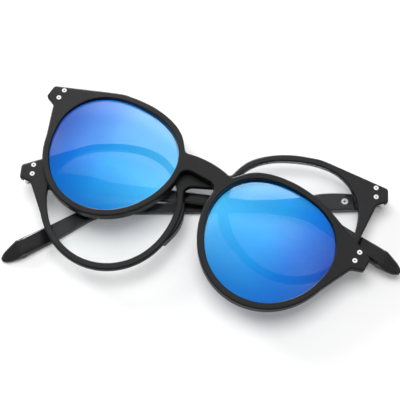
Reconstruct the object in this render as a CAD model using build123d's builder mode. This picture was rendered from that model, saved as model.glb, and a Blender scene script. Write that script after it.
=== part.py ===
from build123d import *
import os
from math import asin, cos, degrees, pi, radians, sin, sqrt

# Optical glasses lying face up on their folded temples, with a detached magnetic sun clip of the
# same outline laid across them. Millimetres, X along the width, Y towards the brow, Z up from the
# floor. Left and right are as seen from the front.

# Lens outline, shared by both fronts: a mean radius and the shares that make it a soft triangle
lens_radius = 23.8
lens_centre = 33.7
lens_wide_share = 0.020
lens_lean_share = -0.011
lens_brow_share = 0.036
lens_square_share = -0.009

# Outline of both fronts
rim_width = 2.5
bridge_top = 15.7
bridge_under = 8.8
front_half_width = 68.9
endpiece_top = 13.2
endpiece_foot = 7.9
endpiece_root_inset = 4.3
endpiece_root_level = 6.3
corner_round = 1.4
foot_round = 1.0
root_round = 2.2
notch_round = 1.8
arch_round = 3.4
brow_angle = 57
cheek_angle = -14
notch_angle = 149
outline_points = 16
brow_points = 6
cheek_points = 12

# Frame front
front_thickness = 2.6
front_edge_round = 0.7
rim_edge_round = 0.35
back_edge_round = 0.5
pad_start = 0.5
pad_depth = 5.4
pad_round = 0.7
pad_corner_round = 0.6
pad_inset = 0.8
pad_reach = 1.3
pad_reach_shares = (0.45, 0.85, 1.0, 0.8, 0.35, 0.0)
pad_top_angle = 175
pad_bottom_angle = 214

# Lenses: a domed shell with a thin tongue that sits in a groove round the rim
lens_fit = 0.05
tongue_reach = 0.5
tongue_height = 0.6
tongue_inset = 0.15
clear_lens_thickness = 1.2
clear_lens_curve = 250.0
clear_lens_sink = 1.3
mirror_lens_thickness = 1.1
mirror_lens_curve = 180.0
mirror_lens_rise = 2.15

# Sun clip
clip_thickness = 3.8
clip_bow_radius = 1600.0
clip_edge_round = 0.6
clip_gap = 0.3
clip_turn = 27.2
clip_shift_x = -5.2
clip_shift_y = 3.4

# Studs, rivets and magnets in the endpieces
stud_inset = 4.6
stud_upper = 13.2
stud_lower = 9.5
stud_radius = 0.95
stud_proud = 0.1
stud_depth = 0.6
dimple_radius = 0.22
dimple_depth = 0.15
rivet_radius = 0.55
magnet_radius = 1.25
magnet_length = 1.3
seat_fit = 0.03
running_fit = 0.05

# Hinges: a plate sunk in the back of the endpiece, two ears, and a knuckle between them
hinge_inset = 3.0
hinge_level = 10.9
hinge_back = 4.5
hinge_skin = 0.9
plate_wall = 1.4
plate_width = 4.1
plate_low = 8.1
plate_inset = 1.0
plate_round = 0.6
knuckle_radius = 1.5
knuckle_height = 1.35
knuckle_gap = 0.05
neck_width = 2.0
ear_foot = 7.8
axle_radius = 0.6
axle_head_radius = 1.1
axle_head_height = 0.5
axle_recess = 0.6
axle_slot_width = 0.3
axle_slot_depth = 0.25
butt_near = 1.75
butt_far = 3.7
butt_height = 4.3
butt_gap = 0.05
butt_end = 1.7
butt_round = 0.4
leaf_near = 2.3
leaf_thickness = 0.8
leaf_height = 3.0
leaf_reach = 15.5

# Temples, measured along the arm from the hinge axis, and outwards from it
temple_inner = 1.2
temple_outer = 4.4
temple_start = 2.0
temple_length = 146.0
bend_place = 105.7
bend_radius = 25.0
bend_angle = 29.0
temple_level = 10.2
temple_height = 5.8
waist_height = 4.1
waist_place = 88.0
tip_height = 6.6
tip_place = 136.0
hollow_depth = 0.4
swell_start = 126.0
swell_depth = 1.2
temple_edge_round = 0.7
tip_edge_round = 1.5
tip_end_length = 9.0
tip_end_lift_share = 0.55
section_round_share = 0.46
face_trim = 0.15
shaft_shares = (0.34, 0.68, 1.0)
swell_shares = (0.28, 0.56, 0.76)
end_shares = (0.33, 0.61, 0.81, 0.944, 0.994)
temple_screw_place = 12.5
temple_screw_rise = 0.5
temple_screw_radius = 1.2
temple_screw_head = 0.7
temple_screw_shank = 0.55
temple_screw_length = 2.7
cross_width = 0.35
cross_length = 1.5
cross_depth = 0.35
left_temple_drop = 3.64
right_temple_drop = 4.98
stack_gap = 0.05

# Place of the whole on the floor
front_place_x = -0.232
front_place_y = -4.061

overrun = 1.0

stud_across = front_half_width - stud_inset
hinge_across = front_half_width - hinge_inset
plate_outer = front_half_width - plate_wall
plate_inner = plate_outer - plate_width
endpiece_root = front_half_width - endpiece_root_inset

# The right temple lies flat on the floor and the left one flat on it, so the front leans
front_tilt = asin((temple_outer - temple_inner + stack_gap) / (2 * hinge_across))
front_lean = degrees(front_tilt)
front_height = temple_outer + hinge_across * sin(front_tilt) + hinge_back * cos(front_tilt)
front_plane = Plane(
    origin=(front_place_x, front_place_y, front_height),
    x_dir=(cos(front_tilt), 0, -sin(front_tilt)),
    z_dir=(sin(front_tilt), 0, cos(front_tilt)),
)
clip_place = Location((clip_shift_x, clip_shift_y, clip_gap), (0, 0, -clip_turn))
clip_plane = Plane(front_plane.location * clip_place)
front_axis = Axis(front_plane.origin, front_plane.z_dir)
clip_axis = Axis(clip_plane.origin, clip_plane.z_dir)
sides = ((-1, "left"), (1, "right"))
levels = ((stud_upper, "upper"), (stud_lower, "lower"))
pieces = []

os.makedirs("parts", exist_ok=True)


def lens_reach(angle):
    """Distance from the lens centre to its edge, at an angle from the temple side."""
    turn = radians(angle)
    shape = 1 + lens_wide_share * cos(2 * turn) + lens_lean_share * sin(2 * turn)
    shape += lens_brow_share * sin(3 * turn) + lens_square_share * cos(4 * turn)
    return lens_radius * shape


def rim_point(angle, grow, side=1):
    """A point on the lens outline of one side, grown outwards."""
    reach = lens_reach(angle) + grow
    return (side * (lens_centre + reach * cos(radians(angle))), reach * sin(radians(angle)))


def rim_points(first, last, count, grow, side=1):
    """Points round a stretch of the lens outline of one side, grown outwards."""
    step = (last - first) / count
    return [rim_point(first + step * number, grow, side) for number in range(count + 1)]


def lens_shape(side, grow=0):
    """The closed lens outline of one side."""
    with BuildSketch() as shape:
        with BuildLine():
            Spline(rim_points(0, 360, outline_points, grow, side)[:-1], periodic=True)
        make_face()
    return shape.sketch


def both_lenses(grow=0):
    """The lens outlines of both sides."""
    with BuildSketch() as shape:
        for side, name in sides:
            add(lens_shape(side, grow))
    return shape.sketch


def endpiece_edge(across, inset=0):
    """Level of the endpiece's sloping top edge, or of a line that runs inside it."""
    brow_across, brow_level = rim_point(brow_angle, rim_width)
    slope = (brow_level - endpiece_top) / (front_half_width - brow_across)
    return endpiece_top + slope * (front_half_width - across) - inset * sqrt(1 + slope**2)


def front_shape():
    """Outline of either front: two rims, the bridge and an endpiece at each end."""
    notch = rim_point(notch_angle, rim_width)
    brow = rim_points(notch_angle, brow_angle, brow_points, rim_width)
    corner = (front_half_width, endpiece_top)
    foot = (front_half_width, endpiece_foot)
    root = (endpiece_root, endpiece_root_level)
    nose_angle = -180 - degrees(asin(bridge_under / (lens_radius + rim_width)))
    cheek = rim_points(cheek_angle, nose_angle, cheek_points, rim_width)
    under = (cheek[-1][0], bridge_under)
    with BuildSketch() as shape:
        with BuildLine():
            ThreePointArc((-notch[0], notch[1]), (0, bridge_top), notch)
            Line(under, (-under[0], under[1]))
            with BuildLine() as half:
                start_direction = (brow[1][0] - brow[0][0], brow[1][1] - brow[0][1])
                end_direction = (corner[0] - brow[-1][0], corner[1] - brow[-1][1])
                Spline(brow, tangents=[start_direction, end_direction])
                Polyline(brow[-1], corner, foot, root, cheek[0])
                Spline(cheek[:-1] + [under])
            mirror(half.line, about=Plane.YZ)
        make_face()
    return shape.sketch


def corner_edges(front, plane, axis, across, level):
    """The upright edges of a front that stand nearest to a place and to its mirror image."""
    upright = front.part.edges().filter_by(axis)
    found = []
    for side, name in sides:
        place = Vertex(*plane.from_local_coords((side * across, level, 0)))
        found.append(upright.sort_by_distance(place)[0])
    return found


def round_corners(front, plane, axis):
    """Round the upright corners of the front that is being built."""
    notch = rim_point(notch_angle, rim_width)
    under_across = notch[0] - rim_width
    fillet(corner_edges(front, plane, axis, front_half_width, endpiece_top), corner_round)
    fillet(corner_edges(front, plane, axis, front_half_width, endpiece_foot), foot_round)
    fillet(corner_edges(front, plane, axis, endpiece_root, endpiece_root_level), root_round)
    fillet(corner_edges(front, plane, axis, *notch), notch_round)
    fillet(corner_edges(front, plane, axis, under_across, bridge_under), arch_round)


def round_front_face(front, axis, outer_round):
    """Round the edges of the front face, with a lighter round at the lens openings."""
    fillet(front.part.faces().sort_by(axis)[-1].outer_wire().edges(), outer_round)
    face = front.part.faces().sort_by(axis)[-1]
    fillet([edge for wire in face.inner_wires() for edge in wire.edges()], rim_edge_round)


def pad_shape(side):
    """Nose pad outline: a stretch of the rim on the nose side."""
    stretches = len(pad_reach_shares) - 1
    near = rim_points(pad_top_angle, pad_bottom_angle, stretches, pad_inset, side)
    step = (pad_bottom_angle - pad_top_angle) / stretches
    far = [
        rim_point(pad_top_angle + step * number, rim_width + pad_reach * share, side)
        for number, share in enumerate(pad_reach_shares)
    ][::-1]
    with BuildSketch() as shape:
        with BuildLine():
            Spline(near)
            Line(near[-1], far[0])
            Spline(far)
            Line(far[-1], near[0])
        make_face()
        fillet(shape.vertices(), pad_corner_round)
    return shape.sketch


def plate_shape(side, low, fit=0):
    """Hinge plate outline, under the endpiece's sloping top edge."""
    outer = plate_outer + fit
    inner = plate_inner - fit
    with BuildSketch() as shape:
        with BuildLine():
            Polyline(
                (side * inner, low),
                (side * outer, low),
                (side * outer, endpiece_edge(outer, plate_inset - fit)),
                (side * inner, endpiece_edge(inner, plate_inset - fit)),
                close=True,
            )
        make_face()
        fillet(shape.vertices().group_by(Axis.Y)[-2:], plate_round)
    return shape.sketch


def level_plane(plane, level):
    """A plane square to the hinge axis. Its Y axis runs against the given plane's Z axis."""
    return Plane(origin=plane.origin + plane.y_dir * level, x_dir=plane.x_dir, z_dir=plane.y_dir)


def stud_places():
    """Places of the four studs or rivets of one front."""
    return [(side * stud_across, level) for side, name in sides for level, word in levels]


def arm_plane(side, level, lean, drop):
    """Plane of a folded temple: X runs along the arm and the hinge axis is its Y axis."""
    place = front_plane.location * Location((side * hinge_across, level, -hinge_back))
    if side > 0:
        place = place * Location((0, 0, 0), (0, 180, 0))
    place = place * Location((0, 0, 0), (0, -side * lean, 0))
    return Plane(place * Location((0, 0, 0), (0, 0, -drop)))


def blend(first, last, share):
    """A size that changes smoothly from first to last as the share goes from 0 to 1."""
    share = min(max(share, 0), 1)
    return first + (last - first) * (1 - cos(pi * share)) / 2


def arm_point(place, rise):
    """A point of the arm's side view, a distance along its middle line and above it."""
    bend = radians(bend_angle)
    bend_start = bend_place - bend_radius * bend / 2
    turn = min(max((place - bend_start) / bend_radius, 0), bend)
    before = min(place, bend_start)
    after = max(place - bend_start - bend_radius * bend, 0)
    along = before + bend_radius * sin(turn) + after * cos(turn)
    down = bend_radius * (1 - cos(turn)) + after * sin(turn)
    return (along + rise * sin(turn), rise * cos(turn) - down)


def arm_height(place):
    """Height of the arm: deep at the hinge, slim before the bend and deep again at the tip."""
    if place < waist_place:
        return blend(temple_height, waist_height, place / waist_place)
    return blend(waist_height, tip_height, (place - waist_place) / (tip_place - waist_place))


def arm_inner(place):
    """Distance of the inner face from the hinge axis: hollow along the arm, swollen at the tip."""
    hollow = blend(temple_inner, temple_inner + hollow_depth, place / waist_place)
    swell = (place - swell_start) / (tip_place - swell_start)
    end = (place - temple_length + tip_end_length) / tip_end_length
    inner = blend(hollow, temple_inner - swell_depth, swell)
    return inner + (temple_outer - inner) * tip_end_lift_share * blend(0, 1, end)


def arm_section(arm, place, inward):
    """Rounded cross-section of a temple, a trim too thick on its outer side, where it is cut flat."""
    end = max(place - temple_length + tip_end_length, 0) / tip_end_length
    height = arm_height(place) * sqrt(1 - end**2)
    inner = arm_inner(place)
    outer = temple_outer + face_trim
    corner = blend(temple_edge_round, tip_edge_round, (place - swell_start) / (tip_place - swell_start))
    corner = min(corner, section_round_share * min(height, outer - inner))
    along, down = arm_point(place, 0)
    ahead, ahead_down = arm_point(place, overrun)
    normal = arm.x_dir * (ahead_down - down) - arm.y_dir * (ahead - along)
    centre = arm.from_local_coords((along, down, -inward * (inner + outer) / 2))
    with BuildSketch(Plane(origin=centre, x_dir=arm.z_dir, z_dir=normal)) as section:
        RectangleRounded(outer - inner, height, corner)
    return section.sketch


def arm_places():
    """Places of the sections: the straight part and the bend, then the swell, then the round end."""
    bend_half = bend_radius * radians(bend_angle) / 2
    shaft = [temple_start] + [waist_place * share for share in shaft_shares]
    shaft += [bend_place - bend_half, bend_place, bend_place + bend_half]
    end_start = temple_length - tip_end_length
    run = end_start - shaft[-1]
    swell = [shaft[-1]] + [shaft[-1] + run * share for share in swell_shares] + [end_start]
    end = [end_start] + [end_start + tip_end_length * share for share in end_shares]
    return shaft, swell, end


# Frame front: rims, bridge, endpieces and nose pads moulded in one
pads = []
for side, name in sides:
    with BuildPart() as nose_pad:
        with BuildSketch(front_plane.offset(-pad_start)):
            add(pad_shape(side))
        extrude(amount=pad_start - pad_depth)
        fillet(nose_pad.faces().sort_by(front_axis)[0].edges(), pad_round)
        fillet(nose_pad.faces().sort_by(front_axis)[-1].edges(), pad_round)
    pads.append(nose_pad.part)

with BuildPart() as frame_front:
    with BuildSketch(front_plane):
        add(front_shape())
    extrude(amount=-front_thickness)
    round_corners(frame_front, front_plane, front_axis)
    with BuildSketch(front_plane.offset(overrun)):
        add(both_lenses())
    extrude(amount=-front_thickness - 2 * overrun, mode=Mode.SUBTRACT)
    round_front_face(frame_front, front_axis, front_edge_round)
    fillet(frame_front.faces().sort_by(front_axis)[0].outer_wire().edges(), back_edge_round)
    add(pads)
    clear_tongue_top = clear_lens_sink + tongue_inset
    with BuildSketch(front_plane.offset(lens_fit - clear_tongue_top)):
        add(both_lenses(tongue_reach + lens_fit))
    extrude(amount=-tongue_height - 2 * lens_fit, mode=Mode.SUBTRACT)
    with BuildSketch(front_plane.offset(-hinge_skin)):
        for side, name in sides:
            add(plate_shape(side, endpiece_root_level, seat_fit))
    extrude(amount=-front_thickness - overrun, mode=Mode.SUBTRACT)
    with BuildSketch(front_plane.offset(overrun)):
        with Locations(stud_places()):
            Circle(stud_radius + seat_fit)
    extrude(amount=stud_proud - stud_depth - overrun, mode=Mode.SUBTRACT)
    with BuildSketch(front_plane.offset(overrun)):
        with Locations(stud_places()):
            Circle(rivet_radius + seat_fit)
    extrude(amount=-front_thickness - 2 * overrun, mode=Mode.SUBTRACT)
frame_front.part.label = "frame_front"
pieces.append(frame_front)

# Clip front: the same outline, thicker, with a bowed front face and magnet pockets in its back
clip_edge_height = sqrt(clip_bow_radius**2 - front_half_width**2) - clip_bow_radius + clip_thickness
stud_seat = sqrt(clip_bow_radius**2 - stud_across**2) - clip_bow_radius + clip_thickness
stud_seat += stud_proud - stud_depth
with BuildPart() as clip_front:
    with BuildSketch(clip_plane):
        add(front_shape())
    extrude(amount=clip_thickness + overrun)
    round_corners(clip_front, clip_plane, clip_axis)
    with BuildSketch(clip_plane.offset(-overrun)):
        add(both_lenses())
    extrude(amount=clip_thickness + 3 * overrun, mode=Mode.SUBTRACT)
    with BuildSketch(level_plane(clip_plane, 0)):
        with BuildLine():
            edge = (front_half_width, -clip_edge_height)
            ThreePointArc((-edge[0], edge[1]), (0, -clip_thickness), edge)
            Polyline(edge, (front_half_width, 0), (-front_half_width, 0), (-edge[0], edge[1]))
        make_face()
    extrude(amount=front_half_width, both=True, mode=Mode.INTERSECT)
    round_front_face(clip_front, clip_axis, clip_edge_round)
    mirror_tongue_top = mirror_lens_rise - tongue_inset
    with BuildSketch(clip_plane.offset(mirror_tongue_top + lens_fit)):
        add(both_lenses(tongue_reach + lens_fit))
    extrude(amount=-tongue_height - 2 * lens_fit, mode=Mode.SUBTRACT)
    with BuildSketch(clip_plane.offset(stud_seat)):
        with Locations(stud_places()):
            Circle(stud_radius + seat_fit)
    extrude(amount=stud_depth + overrun, mode=Mode.SUBTRACT)
    with BuildSketch(clip_plane.offset(-overrun)):
        with Locations(stud_places()):
            Circle(magnet_radius + running_fit)
    extrude(amount=magnet_length + running_fit + overrun, mode=Mode.SUBTRACT)
clip_front.part.label = "clip_front"
pieces.append(clip_front)

# Lenses: each is a piece of a dome, with a tongue round its edge
lens_kinds = (
    ("clear", front_plane, -clear_lens_sink, clear_lens_curve, clear_lens_thickness),
    ("mirror", clip_plane, mirror_lens_rise, mirror_lens_curve, mirror_lens_thickness),
)
for kind, plane, edge_level, curve, thickness in lens_kinds:
    dome_centre = edge_level - sqrt(curve**2 - lens_radius**2)
    for side, name in sides:
        middle = plane.location * Location((side * lens_centre, 0, dome_centre))
        with BuildPart() as lens:
            with BuildSketch(plane.offset(edge_level - thickness - overrun)):
                add(lens_shape(side, -lens_fit))
            extrude(amount=thickness + curve - sqrt(curve**2 - lens_radius**2) + 2 * overrun)
            with Locations(middle):
                Sphere(curve, mode=Mode.INTERSECT)
                Sphere(curve - thickness, mode=Mode.SUBTRACT)
            with BuildSketch(plane.offset(edge_level - tongue_inset)):
                add(lens_shape(side, tongue_reach))
                add(lens_shape(side, -tongue_reach), mode=Mode.SUBTRACT)
            extrude(amount=-tongue_height)
        lens.part.label = f"{name}_{kind}_lens"
        pieces.append(lens)

# Rivets through the endpiece and hinge plate, then the clip's studs and magnets
for side, name in sides:
    for level, word in levels:
        with BuildPart() as rivet:
            with BuildSketch(front_plane.offset(stud_proud)):
                with Locations((side * stud_across, level)):
                    Circle(stud_radius)
            extrude(amount=-stud_depth)
            with BuildSketch(front_plane):
                with Locations((side * stud_across, level)):
                    Circle(rivet_radius)
            extrude(amount=-front_thickness)
            with BuildSketch(front_plane.offset(stud_proud)):
                with Locations((side * stud_across, level)):
                    Circle(dimple_radius)
            extrude(amount=-dimple_depth, mode=Mode.SUBTRACT)
        rivet.part.label = f"frame_{name}_{word}_rivet"
        pieces.append(rivet)

        with BuildPart() as stud:
            with BuildSketch(clip_plane.offset(stud_seat)):
                with Locations((side * stud_across, level)):
                    Circle(stud_radius)
            extrude(amount=stud_depth)
            with BuildSketch(clip_plane.offset(stud_seat + stud_depth)):
                with Locations((side * stud_across, level)):
                    Circle(dimple_radius)
            extrude(amount=-dimple_depth, mode=Mode.SUBTRACT)
        stud.part.label = f"clip_{name}_{word}_stud"
        pieces.append(stud)

        with BuildPart() as magnet:
            with BuildSketch(clip_plane):
                with Locations((side * stud_across, level)):
                    Circle(magnet_radius)
            extrude(amount=magnet_length)
        magnet.part.label = f"clip_{name}_{word}_magnet"
        pieces.append(magnet)

# Hinges
knuckle_low = hinge_level - knuckle_height / 2
knuckle_high = hinge_level + knuckle_height / 2
ear_high = knuckle_high + knuckle_gap
butt_start = front_thickness + butt_gap - hinge_back
for side, name in sides:
    axle_place = (side * hinge_across, hinge_back)
    with BuildPart() as frame_hinge:
        with BuildSketch(front_plane.offset(-hinge_skin)):
            add(plate_shape(side, plate_low))
            with Locations(stud_places()):
                Circle(rivet_radius + seat_fit, mode=Mode.SUBTRACT)
        extrude(amount=hinge_skin - front_thickness)
        for ear, height in ((ear_foot, knuckle_low - knuckle_gap - ear_foot), (ear_high, knuckle_height)):
            with BuildSketch(level_plane(front_plane, ear)):
                with Locations(axle_place):
                    Circle(knuckle_radius)
                with Locations((side * hinge_across, (hinge_back + front_thickness) / 2)):
                    Rectangle(neck_width, hinge_back - front_thickness)
                with Locations(axle_place):
                    Circle(axle_radius + seat_fit, mode=Mode.SUBTRACT)
            extrude(amount=height)
    frame_hinge.part.label = f"{name}_frame_hinge"
    pieces.append(frame_hinge)

    with BuildPart() as hinge_screw:
        with BuildSketch(level_plane(front_plane, ear_foot + axle_recess)):
            with Locations(axle_place):
                Circle(axle_radius)
        extrude(amount=ear_high + knuckle_height - ear_foot - axle_recess)
        with BuildSketch(level_plane(front_plane, ear_high + knuckle_height)):
            with Locations(axle_place):
                Circle(axle_head_radius)
        extrude(amount=axle_head_height)
        head_top = ear_high + knuckle_height + axle_head_height
        with BuildSketch(level_plane(front_plane, head_top)):
            with Locations(axle_place):
                Rectangle(2 * axle_head_radius + overrun, axle_slot_width)
        extrude(amount=-axle_slot_depth, mode=Mode.SUBTRACT)
    hinge_screw.part.label = f"{name}_hinge_screw"
    pieces.append(hinge_screw)

# Temples, folded. The inner side faces the front on both, which is +Z on the left arm plane.
for side, name, drop in ((-1, "left", left_temple_drop), (1, "right", right_temple_drop)):
    inward = -side
    arm = arm_plane(side, temple_level, side * front_lean, drop)
    hinge = arm_plane(side, hinge_level, side * front_lean, 0)
    inner_face = arm.offset(-inward * temple_inner)
    leaf_middle = leaf_near + leaf_thickness / 2
    leaf_end = leaf_reach - leaf_height / 2

    with BuildPart() as temple:
        for places in arm_places():
            loft([arm_section(arm, place, inward) for place in places])
        with BuildSketch(arm.offset(-inward * temple_outer)):
            Rectangle(2 * temple_length, 2 * temple_length)
        extrude(amount=-inward * overrun, mode=Mode.SUBTRACT)
        with BuildSketch(arm.offset(-inward * leaf_middle)):
            with Locations((leaf_end / 2, 0)):
                Rectangle(leaf_end, leaf_height + 2 * lens_fit)
            with Locations((leaf_end, 0)):
                Circle(leaf_height / 2 + lens_fit)
        extrude(amount=leaf_thickness / 2 + lens_fit, both=True, mode=Mode.SUBTRACT)
        with BuildSketch(inner_face.offset(inward * overrun)):
            with Locations((temple_screw_place, temple_screw_rise)):
                Circle(temple_screw_radius + seat_fit)
        extrude(amount=-inward * (temple_screw_head + overrun), mode=Mode.SUBTRACT)
        with BuildSketch(inner_face):
            with Locations((temple_screw_place, temple_screw_rise)):
                Circle(temple_screw_shank + seat_fit)
        extrude(amount=-inward * temple_screw_length, mode=Mode.SUBTRACT)
    temple.part.label = f"{name}_temple"
    pieces.append(temple)

    with BuildPart() as temple_hinge:
        with BuildSketch(level_plane(hinge, -knuckle_height / 2)):
            Circle(knuckle_radius)
            with Locations((0, inward * butt_near / 2)):
                Rectangle(neck_width, butt_near)
            Circle(axle_radius + running_fit, mode=Mode.SUBTRACT)
        extrude(amount=knuckle_height)
        with BuildSketch(level_plane(hinge, -butt_height / 2)):
            with Locations(((butt_start + butt_end) / 2, inward * (butt_near + butt_far) / 2)):
                RectangleRounded(butt_end - butt_start, butt_far - butt_near, butt_round)
        extrude(amount=butt_height)
        with BuildSketch(arm.offset(-inward * leaf_middle)):
            with Locations((leaf_end / 2, 0)):
                Rectangle(leaf_end, leaf_height)
            with Locations((leaf_end, 0)):
                Circle(leaf_height / 2)
            with Locations((temple_screw_place, temple_screw_rise)):
                Circle(temple_screw_shank + seat_fit, mode=Mode.SUBTRACT)
        extrude(amount=leaf_thickness / 2, both=True)
    temple_hinge.part.label = f"{name}_temple_hinge"
    pieces.append(temple_hinge)

    with BuildPart() as temple_screw:
        with BuildSketch(inner_face):
            with Locations((temple_screw_place, temple_screw_rise)):
                Circle(temple_screw_radius)
        extrude(amount=-inward * temple_screw_head)
        with BuildSketch(inner_face):
            with Locations((temple_screw_place, temple_screw_rise)):
                Circle(temple_screw_shank)
        extrude(amount=-inward * temple_screw_length)
        with BuildSketch(inner_face):
            with Locations((temple_screw_place, temple_screw_rise)):
                Rectangle(cross_length, cross_width)
                Rectangle(cross_width, cross_length)
        extrude(amount=-inward * cross_depth, mode=Mode.SUBTRACT)
    temple_screw.part.label = f"{name}_temple_screw"
    pieces.append(temple_screw)

for piece in pieces:
    export_step(piece.part, f"parts/{piece.part.label}.step")
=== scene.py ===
import math

import bpy
from mathutils import Matrix, Vector


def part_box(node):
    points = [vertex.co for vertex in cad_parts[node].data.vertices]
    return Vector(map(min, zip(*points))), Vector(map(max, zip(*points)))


# Looks for the glasses and their sun clip: a procedural material on every CAD piece, then the
# floor, the world, the lamps and the camera. Metres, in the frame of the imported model.

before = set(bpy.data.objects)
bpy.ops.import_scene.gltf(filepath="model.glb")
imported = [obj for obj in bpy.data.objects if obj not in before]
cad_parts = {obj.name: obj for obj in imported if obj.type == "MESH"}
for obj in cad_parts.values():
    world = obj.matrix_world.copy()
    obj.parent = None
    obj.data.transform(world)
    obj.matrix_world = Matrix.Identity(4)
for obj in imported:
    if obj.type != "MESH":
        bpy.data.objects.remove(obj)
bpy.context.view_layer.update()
scene = bpy.context.scene

MM = 0.001
WHITE = (1.0, 1.0, 1.0)
SIDES = ("left", "right")
LEVELS = ("upper", "lower")

# The front leans, because its right end lies lower, and the clip is turned in the front's plane
FRONT_LEAN = math.radians(1.413)
CLIP_TURN = math.radians(27.2)
FRONT_OUTWARD = Vector((math.sin(FRONT_LEAN), 0, math.cos(FRONT_LEAN)))


def front_direction(across, upward):
    """A direction in the leaning plane of the front, in the frame's axes."""
    return Vector((across * math.cos(FRONT_LEAN), upward, -across * math.sin(FRONT_LEAN)))


# The clip's own directions: across it towards the right end, and up towards its brow
CLIP_ACROSS = front_direction(math.cos(CLIP_TURN), -math.sin(CLIP_TURN))
CLIP_UPWARD = front_direction(math.sin(CLIP_TURN), math.cos(CLIP_TURN))

# Where the middle of the clip lies along those two directions
CLIP_MIDDLE_ACROSS = -4.5 * MM
CLIP_MIDDLE_UPWARD = -3.1 * MM


# Shader nodes


class Nodes:
    """The shader nodes of a material or of the world. Most methods give the socket they make."""

    def __init__(self, owner, output_kind="ShaderNodeOutputMaterial"):
        self.owner = owner
        owner.use_nodes = True
        self.tree = owner.node_tree
        self.tree.nodes.clear()
        self.output = self.add(output_kind)

    def add(self, kind, **settings):
        node = self.tree.nodes.new(kind)
        for name, value in settings.items():
            setattr(node, name, value)
        return node

    def feed(self, socket, value):
        """Link another node's socket to this one, or set this one to a number, colour or vector."""
        if isinstance(value, bpy.types.NodeSocket):
            self.tree.links.new(value, socket)
        elif isinstance(value, tuple) and len(socket.default_value) > len(value):
            socket.default_value = (*value, 1)
        else:
            socket.default_value = value

    def place(self):
        """Coordinates in metres that stay with the piece when its body moves."""
        return self.add("ShaderNodeTexCoord").outputs["Object"]

    def vector_value(self, operation, first, second=None):
        """A vector operation whose result is a number, such as DOT_PRODUCT or DISTANCE."""
        node = self.add("ShaderNodeVectorMath", operation=operation)
        self.feed(node.inputs[0], first)
        if second is not None:
            self.feed(node.inputs[1], second)
        return node.outputs["Value"]

    def along(self, direction):
        """Distance in metres along a direction, for a pattern that stays with the piece."""
        return self.vector_value("DOT_PRODUCT", self.place(), direction)

    def value(self, operation, first, second=0.0):
        """An operation on numbers, such as MULTIPLY or MAXIMUM."""
        node = self.add("ShaderNodeMath", operation=operation)
        self.feed(node.inputs[0], first)
        self.feed(node.inputs[1], second)
        return node.outputs[0]

    def spread(self, value, low, high, start=0.3, end=0.7):
        """The value from start to end spread over low to high, and no further."""
        node = self.add("ShaderNodeMapRange")
        self.feed(node.inputs["Value"], value)
        self.feed(node.inputs["From Min"], start)
        self.feed(node.inputs["From Max"], end)
        self.feed(node.inputs["To Min"], low)
        self.feed(node.inputs["To Max"], high)
        return node.outputs[0]

    def noise(self, size, detail=3.0, rough=0.5, stretch=(1, 1, 1)):
        """Noise from 0 to 1 whose patches are about this size in metres."""
        mapping = self.add("ShaderNodeMapping")
        self.feed(mapping.inputs["Scale"], stretch)
        self.feed(mapping.inputs["Vector"], self.place())
        node = self.add("ShaderNodeTexNoise")
        self.feed(node.inputs["Scale"], 1 / size)
        self.feed(node.inputs["Detail"], detail)
        self.feed(node.inputs["Roughness"], rough)
        self.feed(node.inputs["Vector"], mapping.outputs[0])
        return node.outputs["Fac"]

    def ramp(self, value, stops):
        """A colour read from stops, each a position from 0 to 1 and its colour."""
        node = self.add("ShaderNodeValToRGB")
        elements = node.color_ramp.elements
        while len(elements) < len(stops):
            elements.new(0.5)
        for element, (position, colour) in zip(elements, stops):
            element.position = position
            element.color = (*colour, 1)
        self.feed(node.inputs[0], value)
        return node.outputs["Color"]

    def mix_colour(self, share, first, second):
        node = self.add("ShaderNodeMix", data_type="RGBA")
        colour_sockets = (node.inputs[0], node.inputs[6], node.inputs[7])
        for socket, value in zip(colour_sockets, (share, first, second)):
            self.feed(socket, value)
        return node.outputs[2]

    def bump(self, height, depth, strength):
        node = self.add("ShaderNodeBump")
        self.feed(node.inputs["Strength"], strength)
        self.feed(node.inputs["Distance"], depth)
        self.feed(node.inputs["Height"], height)
        return node.outputs["Normal"]

    def shader(self, kind, **values):
        """A shader whose sockets are set by their names, with _ for each space."""
        node = self.add(kind)
        for name, value in values.items():
            self.feed(node.inputs[name.replace("_", " ")], value)
        return node.outputs[0]

    def principled(self, **values):
        return self.shader("ShaderNodeBsdfPrincipled", **values)

    def mix_shader(self, share, first, second):
        node = self.add("ShaderNodeMixShader")
        for socket, value in zip(node.inputs, (share, first, second)):
            self.feed(socket, value)
        return node.outputs[0]

    def seen_rays(self):
        """1 for rays from the camera, a gloss or through glass, and 0 for light that spreads."""
        path = self.add("ShaderNodeLightPath")
        seen = self.value("MAXIMUM", path.outputs["Is Camera Ray"], path.outputs["Is Glossy Ray"])
        return self.value("MAXIMUM", seen, path.outputs["Is Transmission Ray"])

    def finish(self, shader):
        self.feed(self.output.inputs["Surface"], shader)
        return self.owner


def new_material(name):
    return Nodes(bpy.data.materials.new(name))


# Moulded plastic

CLOUD_SIZE = 9 * MM
CLOUD_DARKEST = 0.88
POLISH_SIZE = 14 * MM
POLISHED_BY = 0.04
WORN_BY = 0.05
GRAIN_SIZE = 0.22 * MM
GRAIN_DEPTH = 0.012 * MM
GRAIN_STRENGTH = 0.6
# How squarely a surface faces out of the front where it stops being an edge and is all face. The
# darker colour on edges and walls is painted shade
SHADED_EDGE_ENDS = 0.6
UNSHADED_FACE_STARTS = 0.97


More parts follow.
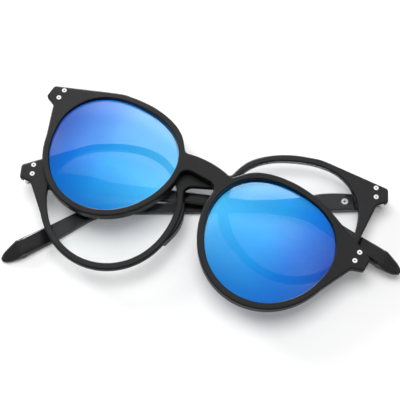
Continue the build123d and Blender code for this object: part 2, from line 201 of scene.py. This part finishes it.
def plastic(name, face, edge, roughness, shine):
    """Matte moulded plastic, a little paler on its faces than on its rounded edges and walls. The
    darker colour on the edges and walls is painted shade for the dark surroundings they reflect.
    """
    s = new_material(name)
    normal = s.add("ShaderNodeTexCoord").outputs["Normal"]
    squareness = s.value("ABSOLUTE", s.vector_value("DOT_PRODUCT", normal, FRONT_OUTWARD))
    # Painted shade: edges and walls take the darker edge colour, and faces take the paler face
    # colour
    colour = s.mix_colour(s.spread(squareness, 0, 1, SHADED_EDGE_ENDS, UNSHADED_FACE_STARTS), edge, face)
    cloud = s.spread(s.noise(CLOUD_SIZE, detail=4), CLOUD_DARKEST, 1)
    polish = s.noise(POLISH_SIZE)
    grain = s.noise(GRAIN_SIZE, detail=2)
    return s.finish(s.principled(
        Base_Color=s.mix_colour(cloud, (0, 0, 0), colour),
        Roughness=s.spread(polish, roughness - POLISHED_BY, roughness + WORN_BY),
        Specular_IOR_Level=shine,
        Normal=s.bump(grain, GRAIN_DEPTH, GRAIN_STRENGTH),
    ))


# Steel and nickel, with painted shade on the heads of studs, rivets and screws

MARK_SIZE = 0.3 * MM
MARK_DEPTH = 0.006 * MM
MARK_STRENGTH = 0.5
MARK_NOISE_ROUGHNESS = 0.6
MARK_ROUGH_SHARES = (0.8, 1.3)
STAIN_SIZE = 2.5 * MM
STAIN_SHARE = 0.82

# Painted shade in the dimple of a stud's head and round the edge of the head
DIMPLE_SHADE_COLOUR = (0.10, 0.10, 0.10)
DIMPLE_FULL = 0.24 * MM
DIMPLE_ENDS = 0.36 * MM
HEAD_RADIUS = 0.95 * MM
HEAD_EDGE_SHADE_COLOUR = (0.12, 0.12, 0.12)
HEAD_EDGE_WIDTH = 0.16 * MM
HEAD_EDGE_COVER = 0.75

# Painted shade in the cross recess of a screw's head
RECESS_SHADE_COLOUR = (0.04, 0.04, 0.04)
RECESS_FULL = 0.3 * MM
RECESS_STARTS = 0.1 * MM


def steel(name, colour, roughness, brushed=(1, 1, 1), paint_head_shade=None):
    """Steel or nickel with fine tool marks and a little staining, and painted shade on the head if
    given.
    """
    s = new_material(name)
    marks = s.noise(MARK_SIZE, rough=MARK_NOISE_ROUGHNESS, stretch=brushed)
    stain = s.noise(STAIN_SIZE, detail=4)
    stained = tuple(STAIN_SHARE * channel for channel in colour)
    shade = s.mix_colour(s.spread(stain, 0, 1), stained, colour)
    if paint_head_shade:
        shade = paint_head_shade(s, shade)
    smooth_share, rough_share = MARK_ROUGH_SHARES
    return s.finish(s.principled(
        Base_Color=shade,
        Metallic=1.0,
        Roughness=s.spread(marks, roughness * smooth_share, roughness * rough_share),
        Normal=s.bump(marks, MARK_DEPTH, MARK_STRENGTH),
    ))


def head_middle(node):
    """Middle of the outer face of a stud that points out of the front."""
    low, high = (Vector(corner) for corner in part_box(node))
    return (low + high) / 2 + FRONT_OUTWARD * ((high.z - low.z) / 2)


def shaded_dimple(node):
    """Paints shade into the dimple in the middle of a stud's head, and round the very edge of the
    head.
    """

    def paint(s, shade):
        away = s.vector_value("DISTANCE", s.place(), head_middle(node))
        dimple_shade = s.spread(away, 1, 0, DIMPLE_FULL, DIMPLE_ENDS)
        head_edge_shade = s.spread(away, 0, HEAD_EDGE_COVER, HEAD_RADIUS - HEAD_EDGE_WIDTH, HEAD_RADIUS)
        return s.mix_colour(
            head_edge_shade, s.mix_colour(dimple_shade, shade, DIMPLE_SHADE_COLOUR), HEAD_EDGE_SHADE_COLOUR
        )

    return paint


def shaded_recess(node):
    """Paints shade into the cross recess, which lies below the top of a screw's head."""
    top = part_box(node)[1][2]

    def paint(s, shade):
        recess_shade = s.spread(s.along((0, 0, 1)), 1, 0, top - RECESS_FULL, top - RECESS_STARTS)
        return s.mix_colour(recess_shade, shade, RECESS_SHADE_COLOUR)

    return paint


# Lenses

CLEAR_TINT = (0.985, 0.99, 0.99)
CLEAR_REFLECTION = (0.9, 0.95, 1.0)
CLEAR_SMUDGE_SIZE = 7 * MM
CLEAR_ROUGHNESS = (0.02, 0.09)
CLEAR_IOR = 1.3
CLEAR_GLOSS_SHARE = 0.5

# The mirror coat's colour from the nose to the temple, and the deeper colour it is painted lower
# down, a painted reflection of darker surroundings
MIRROR_STOPS = (
    (0.0, (0.08, 0.56, 1.0)),
    (0.45, (0.03, 0.44, 1.0)),
    (0.75, (0.010, 0.20, 0.76)),
    (1.0, (0.020, 0.07, 0.42)),
)
MIRROR_STARTS = 12 * MM
MIRROR_ENDS = 58 * MM
MIRROR_WAVE_SIZE = 24 * MM
MIRROR_WAVE = 2 * MM
# Painted reflection: the deeper colour lower down, how much of it at most, and where it starts
MIRROR_LOW_SHADE_COLOUR = (0.006, 0.11, 0.42)
MIRROR_LOW_SHADE_SHARE = 0.85
MIRROR_LOW_SHADE_STARTS = 0.3
MIRROR_SMUDGE_SIZE = 11 * MM
MIRROR_ROUGHNESS = (0.05, 0.11)
# Levels along the clip's upward direction: the lens is darkest and least see-through below the
# first, and most see-through above the other. This change from top to bottom is painted shade
DARKEST_BELOW = -22 * MM
CLEAR_ABOVE = {"left": 4 * MM, "right": 11 * MM}
LEAST_MIRROR_SHARE = 0.44
MOST_MIRROR_SHARE = 0.86
# The lens is less see-through by the temple too: the share of the way there where this starts, and
# how far it has gone at the end
TEMPLE_END_STARTS = 0.5
TEMPLE_END_COVER = 0.6


def clear_lens(name):
    """Clear plastic lens: see-through, with a faint reflection that has soft smudges."""
    s = new_material(name)
    coat = s.principled(
        Base_Color=CLEAR_REFLECTION,
        Metallic=1.0,
        Roughness=s.spread(s.noise(CLEAR_SMUDGE_SIZE, detail=4), *CLEAR_ROUGHNESS),
    )
    gloss = s.shader("ShaderNodeFresnel", IOR=CLEAR_IOR)
    see = s.shader("ShaderNodeBsdfTransparent", Color=CLEAR_TINT)
    return s.finish(s.mix_shader(s.value("MULTIPLY", gloss, CLEAR_GLOSS_SHARE), see, coat))


def mirror_lens(name, outward, clear_above):
    """Blue mirror-coated clear lens: sky blue by the nose, violet by the temple. Lower down it is
    painted deeper, a painted reflection of darker surroundings, and made less see-through, painted
    shade for the shadowed floor behind it. outward is -1 for the left lens, 1 for the right."""
    s = new_material(name)
    from_middle = s.value("SUBTRACT", s.along(CLIP_ACROSS), CLIP_MIDDLE_ACROSS)
    wave = s.spread(s.noise(MIRROR_WAVE_SIZE, detail=2), -MIRROR_WAVE, MIRROR_WAVE)
    from_nose = s.value("ADD", s.value("MULTIPLY", from_middle, outward), wave)
    to_temple = s.spread(from_nose, 0, 1, MIRROR_STARTS, MIRROR_ENDS)
    level = s.value("SUBTRACT", s.along(CLIP_UPWARD), CLIP_MIDDLE_UPWARD)
    # Painted shade: how low a point lies on the lens, which deepens its colour and lessens what
    # shows through
    lowness = s.spread(level, 1, 0, DARKEST_BELOW, clear_above)
    low_shade_share = s.spread(lowness, 0, MIRROR_LOW_SHADE_SHARE, MIRROR_LOW_SHADE_STARTS, 1)
    coat = s.principled(
        Base_Color=s.mix_colour(low_shade_share, s.ramp(to_temple, MIRROR_STOPS), MIRROR_LOW_SHADE_COLOUR),
        Metallic=1.0,
        Roughness=s.spread(s.noise(MIRROR_SMUDGE_SIZE, detail=4), *MIRROR_ROUGHNESS),
    )
    by_temple = s.spread(to_temple, 0, TEMPLE_END_COVER, TEMPLE_END_STARTS, 1)
    cover = s.value("MAXIMUM", lowness, by_temple)
    mirror_share = s.spread(cover, LEAST_MIRROR_SHARE, MOST_MIRROR_SHARE, 0, 1)
    see = s.shader("ShaderNodeBsdfTransparent", Color=WHITE)
    return s.finish(s.mix_shader(mirror_share, see, coat))


# Every CAD piece gets its material

RIVET_COLOUR = (0.74, 0.74, 0.73)
RIVET_ROUGHNESS = 0.2
TEMPLE_SCREW_COLOUR = (0.66, 0.66, 0.66)
TEMPLE_SCREW_ROUGHNESS = 0.22


def dress(node, material):
    """Give one CAD piece its material, in place of the one it came with."""
    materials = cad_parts[node].data.materials
    materials.clear()
    materials.append(material)


def dress_rivet(node):
    """Bright steel for a stud or rivet, with painted shade in its head's dimple and round the
    head's edge.
    """
    dress(node, steel(node, RIVET_COLOUR, RIVET_ROUGHNESS, paint_head_shade=shaded_dimple(node)))


def dress_temple_screw(node):
    """Bright steel with painted shade in its own cross recess."""
    material = steel(node, TEMPLE_SCREW_COLOUR, TEMPLE_SCREW_ROUGHNESS, paint_head_shade=shaded_recess(node))
    dress(node, material)


# The edge colour of each plastic is painted shade on its rounded edges and walls
frame_plastic = plastic(
    "frame_matte_plastic",
    face=(0.020, 0.020, 0.021),
    edge=(0.001, 0.001, 0.001),
    roughness=0.34,
    shine=0.11,
)
clip_plastic = plastic(
    "clip_matte_plastic",
    face=(0.016, 0.016, 0.017),
    edge=(0.001, 0.001, 0.001),
    roughness=0.36,
    shine=0.11,
)
temple_plastic = plastic(
    "temple_satin_plastic",
    face=(0.004, 0.004, 0.005),
    edge=(0.002, 0.002, 0.002),
    roughness=0.19,
    shine=0.24,
)
hinge_steel = steel("hinge_steel", colour=(0.56, 0.56, 0.56), roughness=0.3, brushed=(1, 6, 1))
# The hinge screws are far darker than steel: painted shade for the dark holes they sit in
screw_steel = steel("screw_steel", colour=(0.20, 0.20, 0.21), roughness=0.3)
magnet_nickel = steel("magnet_nickel", colour=(0.62, 0.60, 0.55), roughness=0.22)
clear_plastic = clear_lens("clear_lens_plastic")

dress("frame_front", frame_plastic)
dress("clip_front", clip_plastic)
for side, outward in zip(SIDES, (-1, 1)):
    mirror = mirror_lens(f"{side}_mirror_coating", outward, CLEAR_ABOVE[side])
    dress(f"{side}_mirror_lens", mirror)
    dress(f"{side}_clear_lens", clear_plastic)
    dress(f"{side}_temple", temple_plastic)
    dress(f"{side}_frame_hinge", hinge_steel)
    dress(f"{side}_temple_hinge", hinge_steel)
    dress(f"{side}_hinge_screw", screw_steel)
    dress_temple_screw(f"{side}_temple_screw")
    for level in LEVELS:
        dress_rivet(f"frame_{side}_{level}_rivet")
        dress_rivet(f"clip_{side}_{level}_stud")
        dress(f"clip_{side}_{level}_magnet", magnet_nickel)


# Floor: plain white that keeps the object's shadow. Where it is seen it glows a little, and more
# so far away, where the lamps don't reach.

FLOOR_HALF = 3.0
PAPER_COLOURS = ((0.80, 0.80, 0.80), (0.82, 0.82, 0.82))
PAPER_CLOUD_SIZE = 40 * MM
NEAR_GLOW = 0.14
GLOW_GROWS_FROM = 0.2
GLOW_FULL_AT = 0.7


def floor_white():
    s = new_material("floor_white")
    seen = s.seen_rays()
    paper = s.mix_colour(s.noise(PAPER_CLOUD_SIZE), *PAPER_COLOURS)
    away = s.vector_value("LENGTH", s.place())
    glow = s.spread(away, NEAR_GLOW, 1, GLOW_GROWS_FROM, GLOW_FULL_AT)
    matte = s.shader("ShaderNodeBsdfDiffuse", Color=s.mix_colour(seen, paper, WHITE))
    light = s.shader("ShaderNodeEmission", Color=WHITE)
    return s.finish(s.mix_shader(s.value("MULTIPLY", seen, glow), matte, light))


floor_corners = [
    (x * FLOOR_HALF, y * FLOOR_HALF, 0) for x, y in ((-1, -1), (1, -1), (1, 1), (-1, 1))
]
floor_mesh = bpy.data.meshes.new("floor")
floor_mesh.from_pydata(floor_corners, [], [(0, 1, 2, 3)])
floor_mesh.materials.append(floor_white())
floor = bpy.data.objects.new("floor", floor_mesh)
scene.collection.objects.link(floor)


# World: white where it is seen, and a soft fill elsewhere

FILL = 0.24
scene.world = bpy.data.worlds.new("studio")
sky = Nodes(scene.world, "ShaderNodeOutputWorld")
brightness = sky.spread(sky.seen_rays(), FILL, 1, 0, 1)
sky.finish(sky.shader("ShaderNodeBackground", Color=WHITE, Strength=brightness))


# Lamps


def softbox(name, place, size, power):
    """A square lamp that looks at the middle of the floor."""
    data = bpy.data.lights.new(name, "AREA")
    data.shape = "SQUARE"
    data.size = size
    data.energy = power
    lamp = bpy.data.objects.new(name, data)
    lamp.location = place
    lamp.rotation_euler = (-Vector(place)).to_track_quat("-Z", "Y").to_euler()
    scene.collection.objects.link(lamp)
    return lamp


# The key throws the soft shadows and stays out of the mirror, where the wide weak canopy shows
key = softbox("key", place=(-0.10, 0.13, 1.05), size=0.7, power=8.0)
key.visible_glossy = False
softbox("canopy", place=(0, 0.5, 1.1), size=1.6, power=3.0)
softbox("side", place=(-0.75, 0.55, 0.45), size=0.3, power=4.0)

# This low lamp only shows as light lines on rounded edges, and throws no shadow on the floor
edge_light = softbox("edge_light", place=(-0.3, 1.0, 0.3), size=0.5, power=36.0)
edge_light.visible_diffuse = False


# Camera, fitted to the outline, the lenses and the studs in the photograph

CAMERA_PLACE = (17.785 * MM, -157.899 * MM, 356.401 * MM)
CAMERA_RIGHT = Vector((0.99710, 0.07322, -0.02098))
CAMERA_UP = Vector((-0.05791, 0.90765, 0.41572))
CAMERA_BACK = Vector((0.04949, -0.41330, 0.90925))
LENS = 92.38
SENSOR_WIDTH = 36.0
NEAREST_SEEN = 10 * MM

camera_data = bpy.data.cameras.new("camera")
camera_data.lens = LENS
camera_data.sensor_width = SENSOR_WIDTH
camera_data.clip_start = NEAREST_SEEN
camera = bpy.data.objects.new("camera", camera_data)
camera_turn = Matrix((CAMERA_RIGHT, CAMERA_UP, CAMERA_BACK)).transposed()
camera.matrix_world = Matrix.Translation(CAMERA_PLACE) @ camera_turn.to_4x4()
scene.collection.objects.link(camera)
scene.camera = camera
scene.view_settings.view_transform = "Standard"
